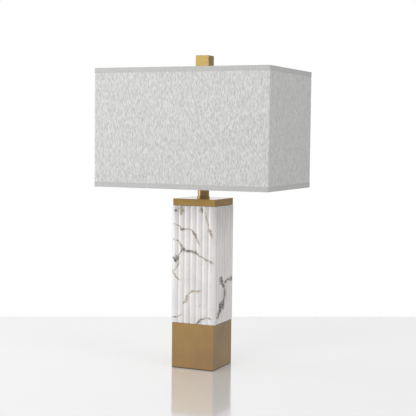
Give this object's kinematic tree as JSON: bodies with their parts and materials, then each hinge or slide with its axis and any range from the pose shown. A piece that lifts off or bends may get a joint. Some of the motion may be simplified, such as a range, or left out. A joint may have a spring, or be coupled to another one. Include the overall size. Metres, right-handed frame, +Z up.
{
  "type": "table lamp",
  "caption": "Table lamp with a reeded square stone column between a brass box and a brass cap, a rectangular fabric shade on a harp, and a square brass finial.",
  "frame": {"origin": "on the table, under the column's axis", "axes": "+Z up, -Y the front, +X to the right along the shade's long side"},
  "size_m": [0.407, 0.259, 0.6862],
  "materials": {
    "felt": "matt",
    "zinc_steel": "zinc plated",
    "satin_brass": "satin, fine brushed",
    "cast_iron": "as cast",
    "black_plastic": "moulded",
    "cork": "matt",
    "white_marble": "honed, with grey and tan veins",
    "fibreboard": "matt",
    "bright_brass": "satin",
    "fibre_liner": "vulcanised fibre",
    "phenolic": "moulded",
    "contact_brass": "plain",
    "black_glass": "fused",
    "bulb_cap": "bright",
    "white_plastic": "moulded",
    "frosted_diffuser": "frosted",
    "shade_fabric": "slubbed weave",
    "shade_board": "matt white laminate",
    "white_wire": "white powder coat"
  },
  "bodies": {
    "lamp": {"felt_pad": "felt", "bottom_plate": "zinc_steel", "plate_screw_1": "zinc_steel", "plate_screw_2": "zinc_steel", "plate_screw_3": "zinc_steel", "plate_screw_4": "zinc_steel", "base_box": "satin_brass", "base_weight": "cast_iron", "cord_bushing": "black_plastic", "lower_stone_pad": "cork", "marble_column": "white_marble", "upper_stone_pad": "cork", "cap_tray": "satin_brass", "cap_core": "fibreboard", "threaded_rod": "zinc_steel", "lower_washer": "zinc_steel", "upper_washer": "zinc_steel", "lower_nut": "zinc_steel", "upper_nut": "zinc_steel", "neck": "bright_brass", "harp_saddle": "bright_brass", "holder_cap": "bright_brass", "hub_set_screw": "zinc_steel", "holder_shell": "bright_brass", "holder_liner": "fibre_liner", "holder_body": "phenolic", "terminal_screw_1": "contact_brass", "terminal_screw_2": "contact_brass", "screw_shell": "contact_brass", "centre_contact": "contact_brass"},
    "switch": {"switch_spindle": "zinc_steel", "switch_knob": "black_plastic"},
    "bulb": {"bulb_eyelet": "contact_brass", "bulb_insulator": "black_glass", "bulb_screw_cap": "bulb_cap", "bulb_body": "white_plastic", "bulb_globe": "frosted_diffuser"},
    "harp": {"harp": "bright_brass", "harp_stud": "bright_brass"},
    "sleeve_left": {"harp_sleeve_left": "bright_brass"},
    "sleeve_right": {"harp_sleeve_right": "bright_brass"},
    "shade": {"shade_fabric": "shade_fabric", "lining_front": "shade_board", "lining_rear": "shade_board", "lining_left": "shade_board", "lining_right": "shade_board", "shade_top_ring": "white_wire", "shade_bottom_ring": "white_wire", "spider_hub": "white_wire", "spider_arm_right": "white_wire", "spider_arm_rear": "white_wire", "spider_arm_left": "white_wire", "spider_arm_front": "white_wire", "shade_top_trim": "shade_fabric", "shade_bottom_trim": "shade_fabric"},
    "finial": {"finial_base": "bright_brass", "finial_block": "bright_brass"}
  },
  "joints": [
    {"name": "switch_turn", "type": "hinge", "parent": "lamp", "child": "switch", "pos_m": [0, -0.02, 0.4468], "axis": [0, -1, 0], "continuous": true},
    {"name": "bulb_lift", "type": "slide", "parent": "lamp", "child": "bulb", "axis": [0, 0, 1], "range_m": [0, 0.035]},
    {"name": "harp_lift", "type": "slide", "parent": "lamp", "child": "harp", "axis": [0, 0, 1], "range_m": [0, 0.17]},
    {"name": "sleeve_left_lift", "type": "slide", "parent": "harp", "child": "sleeve_left", "axis": [0, 0, 1], "range_m": [0, 0.016]},
    {"name": "sleeve_right_lift", "type": "slide", "parent": "harp", "child": "sleeve_right", "axis": [0, 0, 1], "range_m": [0, 0.016]},
    {"name": "shade_turn", "type": "hinge", "parent": "harp", "child": "shade", "pos_m": [0, 0, 0.642], "axis": [0, 0, 1], "continuous": true},
    {"name": "finial_turn", "type": "hinge", "parent": "harp", "child": "finial", "pos_m": [0, 0, 0.67], "axis": [0, 0, 1], "continuous": true}
  ]
}
